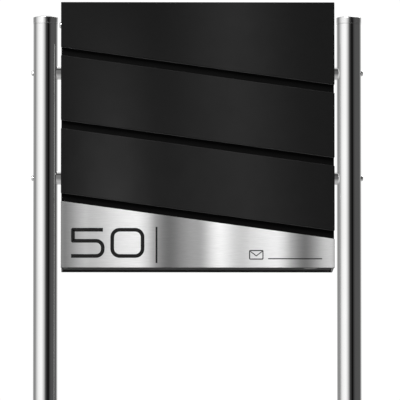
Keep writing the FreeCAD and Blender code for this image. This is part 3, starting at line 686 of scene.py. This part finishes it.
def make_engraving():
    """House number, a dividing line, and a small envelope beside a rule where a name would stand. Points are
    in millimetres from the middle of the plate's lower edge."""
    five = ((-128, 51), (-168.5, 51), (-168.5, 36), (-128.3, 36), (-128.3, 15.5), (-171, 15.5))
    nought = ((-115.5, 15.5), (-74.5, 15.5), (-74.5, 51), (-115.5, 51))
    strokes = [
        stroke(five, NUMBER_PEN, np.array([TINY, TINY, TINY, 9 * MM, 9 * MM, TINY])),
        stroke(nought, NUMBER_PEN, 10 * MM, closed=True),
        stroke(((-55.7, 6), (-55.7, 55)), DIVIDER_PEN),
        stroke(((70, 11.5), (88, 11.5), (88, 23), (70, 23)), SIGN_PEN, 1 * MM, closed=True),
        stroke(((71, 22), (79, 15.8), (87, 22)), FLAP_PEN),
        stroke(((95, 12), (168, 12)), SIGN_PEN),
    ]
    make_piece("engraved_marks", joined(strokes), FINISH["engraving_ink"], "door", "black_rubber")


# ---- door pan, keeper and slat nuts ----


def make_door_pan():
    low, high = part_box("door_pan")
    corners = ((low.x, low.z), (high.x, low.z), (high.x, high.z), (low.x, high.z))

    def place(flat, deep):
        return laid(flat, low.y + deep, "xzy")

    shape = tray(corners, high.y - low.y, place)
    # painted shade: the pan, seen in the gaps between the slats, gets the darkened coat
    make_piece("folded_door_pan", shape, FINISH["painted_shade_pan_coat"], "door", "black_coat", ["door_pan"])


STUD_PLACES = np.array([-150, -50, 50, 150]) * MM


def make_slat_nuts():
    """Sixteen chamfered nuts, four along the middle of each slat."""
    pan_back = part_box("slat_nuts")[0].y
    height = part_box("slat_nuts")[1].y - pan_back
    nuts = []
    for name in SLATS:
        low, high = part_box(name)
        corners = np.array(outline_of(name))
        left = (corners[0, 1] + corners[3, 1]) / 2
        right = (corners[1, 1] + corners[2, 1]) / 2
        for x in STUD_PLACES:
            z = left + (right - left) * (x - low.x) / (high.x - low.x)
            nuts.append(hex_nut((x, pan_back, z), "y", NUT_ACROSS, height, NUT_BORE))
    zinc = FINISH["zinc_steel"]
    make_piece("chamfered_slat_nuts", joined(nuts), zinc, "door", "zinc_steel", ["slat_nuts"])


def make_keeper():
    low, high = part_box("lock_keeper")
    path = ((low.y, low.z), (high.y, low.z), (high.y, high.z))
    shape = strip(path, low.x, high.x, "yzx")
    make_piece("folded_lock_keeper", shape, FINISH["zinc_steel"], "door", "zinc_steel", ["lock_keeper"])


# ---- housing ----


def make_wrap():
    """Back, sides and front flanges in one sheet; the flanges are shorter than the walls at both ends."""
    low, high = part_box("housing_wrap")
    floor_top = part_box("housing_floor")[0].z + GAUGE
    deck_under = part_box("top_deck")[1].z - COLLAR_RISE
    relief_cut = BEND + 0.1 * MM
    path = (
        (low.x + FLANGE, low.y),
        (low.x + relief_cut, low.y),
        (low.x, low.y),
        (low.x, high.y),
        (high.x, high.y),
        (high.x, low.y),
        (high.x - relief_cut, low.y),
        (high.x - FLANGE, low.y),
    )

    def edge(wall, lip):
        def heights(points):
            inward = np.minimum(points[:, 0] - low.x, high.x - points[:, 0])
            on_flange = (points[:, 1] < low.y + TINY) & (inward > relief_cut - TINY)
            return np.where(on_flange, lip, wall)

        return heights

    shape = strip(path, edge(low.z, floor_top), edge(high.z, deck_under), "xyz")
    make_piece("folded_wrap", shape, FINISH["housing_coat"], "stand", "black_coat", ["housing_wrap"])


def rectangle(low_x, low_y, high_x, high_y, radius, steps=6):
    corners = ((low_x, low_y), (high_x, low_y), (high_x, high_y), (low_x, high_y))
    return rounded(corners, radius, steps=steps)


def make_deck():
    """Deck plate with the collar drawn up out of it: closed rings from the plate's edge over the collar and
    back along the underside, and the apron under the front edge."""
    low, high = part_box("top_deck")
    collar_front = low.y + COLLAR_SETBACK
    collar_rear = high.y - COLLAR_REAR_SETBACK
    under = high.z - COLLAR_RISE
    top = under + GAUGE
    angle = np.linspace(0, np.pi / 2, 6)
    bend = BEND - GAUGE

    def collar(offset, height):
        half = COLLAR_HALF_WIDTH + offset
        ring = rectangle(-half, collar_front - offset, half, collar_rear + offset, MM + offset)
        return laid(ring, height, "xyz")

    def plate_edge(height):
        return laid(rectangle(low.x, low.y, high.x, high.y, EDGE_BREAK), height, "xyz")

    rings = [plate_edge(under), plate_edge(top)]
    rings += [collar(GAUGE + bend * (1 - math.sin(a)), top + bend * (1 - math.cos(a))) for a in angle]
    rings += [collar(GAUGE, high.z), collar(0, high.z)]
    rings += [collar(BEND * (1 - math.sin(a)), under + BEND * (1 - math.cos(a))) for a in reversed(angle)]
    plate = grid(np.stack(rings), close_rows=True)
    apron_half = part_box("housing_wrap")[1].x - FLANGE - CLEARANCE
    apron = strip(((low.y, low.z), (low.y, under)), -apron_half, apron_half, "yzx", -GAUGE)
    coat = FINISH["housing_coat"]
    make_piece("folded_deck", joined([plate, apron]), coat, "stand", "black_coat", ["top_deck"])


def make_deflector():
    low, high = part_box("deflector")
    bend_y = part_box("top_deck")[0].y + COLLAR_SETBACK
    path = ((high.y, low.z), (bend_y, high.z), (low.y, high.z))
    shape = strip(path, low.x, high.x, "yzx")
    make_piece("folded_deflector", shape, FINISH["housing_coat"], "stand", "black_coat", ["deflector"])


PIVOT_HEAD_RADIUS = 4.5 * MM
PIVOT_RADIUS = 2.5 * MM
PIVOT_THREAD = 4.7 * MM


def make_lid():
    """Folded lid. Its lip is shallow in front, so that it clears the hinge, and deeper round the sides and
    the rear; at each pivot it runs on to a round ear, whose edge is a half circle about the pivot."""
    low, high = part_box("lid")
    ear = 7 * MM
    pivot_z = low.z + ear
    pivot_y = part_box("lid_pivot_screws")[0].y + PIVOT_HEAD_RADIUS
    deep = 14 * MM
    hinge_gap = 1 * MM
    shallow = high.z - (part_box("hinge_ear_upper")[1].z + hinge_gap)
    step_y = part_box("housing_wrap")[0].y + LID_STEP
    arc = pivot_y - np.cos(np.linspace(0, np.pi, 17)) * ear
    side = np.concatenate([[step_y - TINY, step_y + TINY, arc[0] - TINY], arc, [arc[-1] + TINY]])
    right = np.stack([np.full_like(side, high.x), side], axis=-1)
    left = np.stack([np.full_like(side, low.x), side[::-1]], axis=-1)
    corners = np.concatenate(
        [[(low.x, low.y), (high.x, low.y)], right, [(high.x, high.y), (low.x, high.y)], left]
    )

    def lip(points):
        along = points[:, 1] - pivot_y
        on_side = np.abs(points[:, 0]) > high.x - TINY
        half_circle = np.sqrt(np.maximum(ear * ear - along * along, 0))
        round_ear = high.z - pivot_z + half_circle
        plain = np.where(points[:, 1] < step_y, shallow, deep)
        return np.where(on_side & (np.abs(along) < ear + TINY / 2), round_ear, plain)

    def place(flat, height):
        return laid(flat, high.z - height, "xyz")

    make_piece("folded_lid", tray(corners, lip, place), FINISH["housing_coat"], "lid", "black_coat", ["lid"])


def make_pivot_screws():
    """Shoulder screws: thread, shoulder and button head in one profile."""
    low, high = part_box("lid_pivot_screws")
    seat = high.x - HEAD_HEIGHT
    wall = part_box("housing_wrap")[1].x - GAUGE
    middle = ((low.y + high.y) / 2, (low.z + high.z) / 2)
    shoulder = seat - wall
    tip = shoulder + PIVOT_THREAD
    chamfer = 0.4 * MM
    shank = [
        (0, -tip),
        (THREAD_RADIUS - chamfer, -tip),
        (THREAD_RADIUS, -tip + chamfer),
        (THREAD_RADIUS, -shoulder),
        (PIVOT_RADIUS, -shoulder),
        (PIVOT_RADIUS, 0),
    ]
    screws = []
    for _, side in SIDES:
        towards = "x" if side > 0 else "-x"
        centre = (seat * side, *middle)
        screws.append(socket_screw(centre, towards, shank, PIVOT_HEAD_RADIUS, HEAD_HEIGHT, SOCKET_ACROSS))
    steel = FINISH["polished_steel"]
    make_piece("pivot_screws", joined(screws), steel, "stand", "polished_steel", ["lid_pivot_screws"])


def rubber_foot(centre, towards, radius, length):
    """Bumper: waisted at its foot and domed at its end, rounded by a quarter circle."""
    arc = np.linspace(0, np.pi / 2, 7)
    round_off = radius * 0.4
    end = [
        (radius - round_off * (1 - math.cos(a)), length - round_off * (1 - math.sin(a))) for a in arc
    ]
    waist = radius * 0.86
    profile = [
        (0, 0),
        (radius, 0),
        (radius, 0.8 * MM),
        (waist, 1.2 * MM),
        (waist, length * 0.5),
        (radius, length * 0.6),
    ]
    return turned(profile + end + [(0, length)], centre, towards, 48)


def make_bumpers():
    """One pair behind the door's free edge, and one pair under the lid."""
    rubber = FINISH["black_rubber"]
    low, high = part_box("door_bumpers")
    radius = (high.x - low.x) / 2
    x = (low.x + high.x) / 2
    heights = (low.z + radius, high.z - radius)
    feet = [rubber_foot((x, high.y, z), "-y", radius, high.y - low.y) for z in heights]
    make_piece("door_stops", joined(feet), rubber, "stand", "black_rubber", ["door_bumpers"])
    low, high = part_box("lid_bumpers")
    y = (low.y + high.y) / 2
    places = (low.x + radius, high.x - radius)
    feet = [rubber_foot((x, y, low.z), "z", radius, high.z - low.z) for x in places]
    make_piece("lid_stops", joined(feet), rubber, "stand", "black_rubber", ["lid_bumpers"])


def make_lock_body():
    """Flange with a rounded edge and a barrel whose thread is a row of small ridges."""
    low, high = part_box("lock_body")
    centre = ((low.x + high.x) / 2, (low.y + high.y) / 2, low.z)
    flange = (high.x - low.x) / 2
    barrel = flange - 2 * MM
    bore = 5.05 * MM
    height = high.z - low.z
    seat = 2 * MM
    pitch = 1 * MM
    steps = np.arange(0, height - seat - pitch, pitch / 2)
    thread_depth = 0.35 * MM
    ridges = [(barrel - thread_depth * (index % 2), seat + step) for index, step in enumerate(steps)]
    profile = [
        (bore, 0),
        (flange - 0.8 * MM, 0),
        (flange - 0.25 * MM, 0.25 * MM),
        (flange, 0.8 * MM),
        (flange, seat),
        *ridges,
        (barrel - 0.5 * MM, height),
        (bore, height),
    ]
    shape = turned(profile, centre, closed=True)
    make_piece("threaded_lock_body", shape, FINISH["lock_metal"], "stand", "lock_metal", ["lock_body"])


# ---- stand ----


def make_posts():
    """Tubes, each with its upper rim broken by a small chamfer."""
    for name, _ in SIDES:
        low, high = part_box("post_" + name)
        centre = ((low.x + high.x) / 2, (low.y + high.y) / 2, low.z)
        outer = (high.y - low.y) / 2
        inner = outer - POST_WALL
        length = high.z - low.z
        profile = [
            (inner, 0),
            (outer, 0),
            (outer, length - EDGE_BREAK),
            (outer - EDGE_BREAK, length),
            (inner, length),
        ]
        shape = turned(profile, centre, segments=160, closed=True)
        steel = FINISH["polished_steel"]
        make_piece("tube_" + name, shape, steel, "stand", "polished_steel", ["post_" + name])


def make_caps():
    """Plug with a low dome, a rounded shoulder, a fine groove above the joint, and a spigot in the tube.
    The dome's height is the sphere's: top - R + sqrt(R R - r r)."""
    for name, _ in SIDES:
        low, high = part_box("post_cap_" + name)
        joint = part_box("post_" + name)[1].z
        radius = (high.x - low.x) / 2
        spigot = radius - 2.35 * MM
        dome = 3 * MM
        sphere = (radius * radius + dome * dome) / (2 * dome)
        centre = ((low.x + high.x) / 2, (low.y + high.y) / 2, 0)
        across = np.linspace(0, radius - 0.6 * MM, 24)
        crown = [(r, high.z - sphere + math.sqrt(sphere * sphere - r * r)) for r in across]
        shoulder = high.z - dome
        profile = crown + [
            (radius - 0.2 * MM, shoulder - 0.1 * MM),
            (radius, shoulder - 0.5 * MM),
            (radius, joint + 1.6 * MM),
            (radius - 0.35 * MM, joint + 1.3 * MM),
            (radius - 0.35 * MM, joint + 0.9 * MM),
            (radius, joint + 0.6 * MM),
            (radius, joint + 0.05 * MM),
            (spigot, joint + 0.05 * MM),
            (spigot, low.z + 0.6 * MM),
            (spigot - 0.6 * MM, low.z),
            (0, low.z),
        ]
        shape = turned(profile, centre, segments=128)
        steel = FINISH["turned_steel"]
        make_piece("domed_cap_" + name, shape, steel, "stand", "polished_steel", ["post_cap_" + name])


def make_spacers():
    """Turned spacer between the housing and a post, chamfered at the housing. Its outer end follows the
    post: x = post - sqrt(R R - y y)."""
    post_radius = (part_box("post_right")[1].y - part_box("post_right")[0].y) / 2
    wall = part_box("housing_wrap")[1].x
    angle = np.arange(72) * 2 * np.pi / 72
    share = np.concatenate([[0], np.linspace(0.05, 1, 16)])[:, None]
    for name, side in SIDES:
        for level in LEVELS:
            low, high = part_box(f"spacer_{name}_{level}")
            radius = (high.z - low.z) / 2
            middle = (low.z + high.z) / 2
            ring = radius - np.where(share == 0, CLEARANCE, 0)
            y = ring * np.cos(angle)
            z = ring * np.sin(angle) + middle
            end = POST_X - np.sqrt(post_radius**2 - y**2)
            x = wall + (end - wall) * share
            points = np.stack([x * side, y, z], axis=-1)
            shape = grid(points, caps=True)
            steel = FINISH["polished_steel"]
            node = f"spacer_{name}_{level}"
            make_piece(f"spool_{name}_{level}", shape, steel, "stand", "polished_steel", [node])


def make_post_bolts():
    """Bolts through both walls of each post and the housing's side, with their nuts inside the housing."""
    low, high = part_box("post_bolts")
    head_radius = 3.8 * MM
    seat = high.x - HEAD_HEIGHT
    nut_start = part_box("bolt_nuts")[1].x
    past_nut = 1.5 * MM
    shank = plain_shank(THREAD_RADIUS, seat - nut_start + NUT_HEIGHT + past_nut)
    bolts = []
    nuts = []
    for _, side in SIDES:
        outward, inward = ("x", "-x") if side > 0 else ("-x", "x")
        for z in (low.z + head_radius, high.z - head_radius):
            head = (seat * side, 0, z)
            bolts.append(socket_screw(head, outward, shank, head_radius, HEAD_HEIGHT, SOCKET_ACROSS))
            nuts.append(hex_nut((nut_start * side, 0, z), inward, NUT_ACROSS, NUT_HEIGHT, NUT_BORE))
    steel = FINISH["polished_steel"]
    make_piece("button_head_bolts", joined(bolts), steel, "stand", "polished_steel", ["post_bolts"])
    zinc = FINISH["zinc_steel"]
    make_piece("chamfered_bolt_nuts", joined(nuts), zinc, "stand", "zinc_steel", ["bolt_nuts"])


def make_base_plates():
    """Round plate with four anchor holes, in four sectors round a small open middle that the tube covers. In
    each sector, lines run from the chamfered hole's edge to the sector's outline."""
    sector = np.pi / 2
    for name, _ in SIDES:
        low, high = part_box("base_plate_" + name)
        centre = np.array([(low.x + high.x) / 2, (low.y + high.y) / 2])
        outer = (high.x - low.x) / 2
        inner = 6 * MM
        ring = 45 * MM
        hole = 4.5 * MM
        chamfer = 0.6 * MM
        turn = np.linspace(-sector / 2, sector / 2, 25)
        run = np.linspace(0, 1, 9)[1:-1]
        radius = np.concatenate([np.full(25, outer), outer + (inner - outer) * run])
        radius = np.concatenate([radius, np.full(25, inner), inner + (outer - inner) * run])
        angle = np.concatenate([turn, np.full(7, sector / 2), turn[::-1], np.full(7, -sector / 2)])
        shapes = []
        for quarter in range(4):
            bearing = sector * (quarter + 0.5)
            outline = radius[:, None] * np.stack([np.cos(angle + bearing), np.sin(angle + bearing)], axis=-1)
            middle = ring * np.array([np.cos(bearing), np.sin(bearing)])
            rays = unit(outline - middle)
            on_rim = np.isclose(radius, outer)[:, None]
            short = outline * np.where(on_rim, 1 - chamfer / outer, 1)
            wide = middle + rays * (hole + chamfer)
            narrow = middle + rays * hole
            rows = (
                (short, low.z),
                (wide, low.z),
                (narrow, low.z + chamfer),
                (narrow, high.z - chamfer),
                (wide, high.z),
                (short, high.z),
            )
            points = np.stack([laid(flat + centre, level, "xyz") for flat, level in rows])
            shapes.append(grid(points))
        rim = [
            (outer - chamfer, low.z),
            (outer, low.z + chamfer),
            (outer, high.z - chamfer),
            (outer - chamfer, high.z),
        ]
        shapes.append(turned(rim, (*centre, 0), segments=96))
        shapes.append(turned([(inner, low.z), (inner, high.z)], (*centre, 0), segments=96))
        steel = FINISH["turned_steel"]
        make_piece("foot_" + name, joined(shapes), steel, "stand", "polished_steel", ["base_plate_" + name])


def make_weld_beads():
    """Rippled bead round the foot of each post: a ring whose section radius swells with each ripple."""
    angle = np.linspace(0, 2 * np.pi, 540, endpoint=False)
    section = np.linspace(0, 2 * np.pi, 16, endpoint=False)[:, None]
    ripple = 2.1 * MM + 0.22 * MM * np.abs(np.sin(angle * 36)) ** 1.5
    offset = 0.3 * MM
    for name, _ in SIDES:
        low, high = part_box("post_" + name)
        outer = (high.y - low.y) / 2 + offset
        middle = (low.x + high.x) / 2
        reach = outer + ripple * np.cos(section)
        lift = low.z + offset + ripple * np.sin(section)
        points = np.stack([middle + reach * np.cos(angle), reach * np.sin(angle), lift], axis=-1)
        shape = grid(points, close_rows=True)
        make_piece("weld_bead_" + name, shape, FINISH["weld_steel"], "stand", "polished_steel")


# ---- nodes that keep their own mesh ----

KEPT = {
    "slat_studs": "zinc_steel",
    "hinge_ear_lower": "housing_coat",
    "hinge_ear_upper": "housing_coat",
    "hinge_pin_lower": "zinc_steel",
    "hinge_pin_upper": "zinc_steel",
    "hinge_bush_lower": "nylon",
    "hinge_bush_upper": "nylon",
    # painted shade: the floor's underside gets the darkened coat
    "housing_floor": "painted_shade_pan_coat",
    "lid_pivot_nuts": "zinc_steel",
    "lock_nut": "lock_metal",
    # painted shade: near-black lock nut and plug
    "lock_plug": "lock_metal",
    "lock_cam": "zinc_steel",
    "lock_cam_screw": "zinc_steel",
    "bolt_washers": "zinc_steel",
}


def finish_kept_nodes():
    for name, finish in KEPT.items():
        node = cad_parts[name]
        node.visible_glossy = False
        node.data.materials.clear()
        node.data.materials.append(FINISH[finish])


# ---- studio ----

# brightness of the surroundings by bearing in degrees, 0 in front and positive to the right
SKY_BANDS = (
    (-180, 1.00), (-160, 0.85), (-147, 0.56), (-130, 0.32), (-108, 0.27), (-98, 0.45), (-90, 0.62),
    (-79, 0.81), (-68, 1.02), (-50, 1.12), (-35, 1.14), (-25, 0.98), (-15, 0.72), (-6, 0.42), (3, 0.11),
    (9, 0.04), (17, 0.030), (25, 0.002), (33, 0.010), (44, 0.055), (56, 0.09), (95, 0.10), (110, 0.08),
    (122, 0.20), (135, 0.45), (152, 0.83), (180, 1.00),
)
SKY_TOP = 1.2


def make_studio():
    """Pale surroundings: white for the camera. For everything else, upright panels along the horizon, bright
    to the left and behind and dark to the right of the camera, over bright ground and under a ceiling that
    is bright behind and dark in front."""
    world = bpy.data.worlds.new("studio")
    bpy.context.scene.world = world
    world.use_nodes = True
    tree = world.node_tree
    tree.nodes.clear()
    direction = add(tree, "TexCoord").outputs["Generated"]
    parts = add(tree, "SeparateXYZ", {"Vector": direction})
    x, y, z = (parts.outputs[letter] for letter in "XYZ")
    towards = add(tree, "Math", {0: y, 1: -1.0}, operation="MULTIPLY").outputs[0]
    bearing = add(tree, "Math", {0: x, 1: towards}, operation="ARCTAN2").outputs[0]
    share = spread(tree, bearing, 0.0, 1.0, -math.pi, math.pi)
    stops = [((at + 180) / 360, grey / SKY_TOP) for at, grey in SKY_BANDS]
    panels = ramp(tree, share, stops)
    ground = tinted(tree, panels, (0.45, 0.45, 0.45, 1), spread(tree, z, 1.0, 0.0, -0.95, -0.10), "MIX")
    ceiling = ramp(tree, spread(tree, y, 0.0, 1.0, -0.35, 0.45), ((0.0, 0.03), (1.0, 0.85)))
    surroundings = tinted(tree, ground, ceiling, spread(tree, z, 0.0, 1.0, 0.70, 0.92), "MIX")
    light = add(tree, "Background", {"Color": surroundings, "Strength": SKY_TOP}).outputs[0]
    white = add(tree, "Background", {"Color": (1, 1, 1, 1), "Strength": 1.05}).outputs[0]
    seen = add(tree, "LightPath").outputs["Is Camera Ray"]
    mixed = add(tree, "MixShader", {0: seen, 1: light, 2: white}).outputs[0]
    tree.links.new(mixed, add(tree, "OutputWorld").inputs["Surface"])


# bearing and rise in degrees, distance and side in metres, power in watts
LAMPS = (
    ("key_lamp", -25, 36, 4.0, 1.8, 330.0),
    ("rear_lamp", 150, 40, 4.0, 2.0, 40.0),
)


def make_lamps():
    """Square soft lamps that look at the middle of the front."""
    target = (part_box("name_plate")[0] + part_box("slat_top")[1]) / 2
    for name, bearing, rise, distance, side, power in LAMPS:
        lamp = bpy.data.lights.new(name, "AREA")
        lamp.size = side
        lamp.energy = power
        bearing, rise = math.radians(bearing), math.radians(rise)
        level = math.cos(rise)
        away = Vector((math.sin(bearing) * level, -math.cos(bearing) * level, math.sin(rise)))
        holder = bpy.data.objects.new(name, lamp)
        holder.location = target + away * distance
        holder.rotation_mode = "QUATERNION"
        holder.rotation_quaternion = (-away).to_track_quat("-Z", "Y")
        bpy.context.scene.collection.objects.link(holder)


def make_floor():
    """Plain pale floor: a wide disc with a faint, slow unevenness of tone."""
    material, tree, shader = new_finish("pale_floor", Roughness=0.9)
    tone = ramp(tree, noise(tree, place_on(tree), 1.5), ((0.3, 0.86), (0.7, 0.90)))
    tree.links.new(tone, shader.inputs["Base Color"])
    radius = np.array([0.0, 1.0, 4.0, 30.0])[:, None]
    angle = np.arange(64) * 2 * np.pi / 64
    points = np.stack([radius * np.cos(angle), radius * np.sin(angle), np.zeros((4, 64))], axis=-1)
    points, faces = grid(points)
    mesh = bpy.data.meshes.new("floor")
    mesh.from_pydata(points.tolist(), [], faces[0].tolist())
    mesh.materials.append(material)
    floor = bpy.data.objects.new("floor", mesh)
    bpy.context.scene.collection.objects.link(floor)
    floor.visible_glossy = False


CAMERA_DISTANCE = 11.0
CAMERA_RISE = math.radians(-4.5)
CAMERA_SIDE = math.radians(-0.75)
VIEW_WIDTH = 400 * 1.3505 * MM
VIEW_SHIFT = 3 * MM
VIEW_HEIGHT = 91.4 * MM


def make_camera():
    """Long lens a little left of the middle and below the front, looking slightly up at it."""
    front_low, front_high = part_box("name_plate")[0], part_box("slat_top")[1]
    middle = (front_low.x + front_high.x) / 2
    target = Vector((middle + VIEW_SHIFT, front_low.y, front_low.z + VIEW_HEIGHT))
    back = Vector(
        (
            math.sin(CAMERA_SIDE) * math.cos(CAMERA_RISE),
            -math.cos(CAMERA_SIDE) * math.cos(CAMERA_RISE),
            math.sin(CAMERA_RISE),
        )
    )
    lens = bpy.data.cameras.new("camera")
    lens.sensor_width = 36
    lens.lens = CAMERA_DISTANCE / VIEW_WIDTH * lens.sensor_width
    lens.clip_start = 0.1
    lens.clip_end = 100
    camera = bpy.data.objects.new("camera", lens)
    camera.location = target + back * CAMERA_DISTANCE
    camera.rotation_mode = "QUATERNION"
    camera.rotation_quaternion = (-back).to_track_quat("-Z", "Y")
    bpy.context.scene.collection.objects.link(camera)
    bpy.context.scene.camera = camera


bpy.context.scene.view_settings.view_transform = "Standard"
make_camera()
make_studio()
make_lamps()
make_floor()
make_slats()
make_name_plate()
make_engraving()
make_door_pan()
make_slat_nuts()
make_keeper()
make_wrap()
make_deck()
make_deflector()
make_lid()
make_pivot_screws()
make_bumpers()
make_lock_body()
make_posts()
make_caps()
make_spacers()
make_post_bolts()
make_base_plates()
make_weld_beads()
finish_kept_nodes()
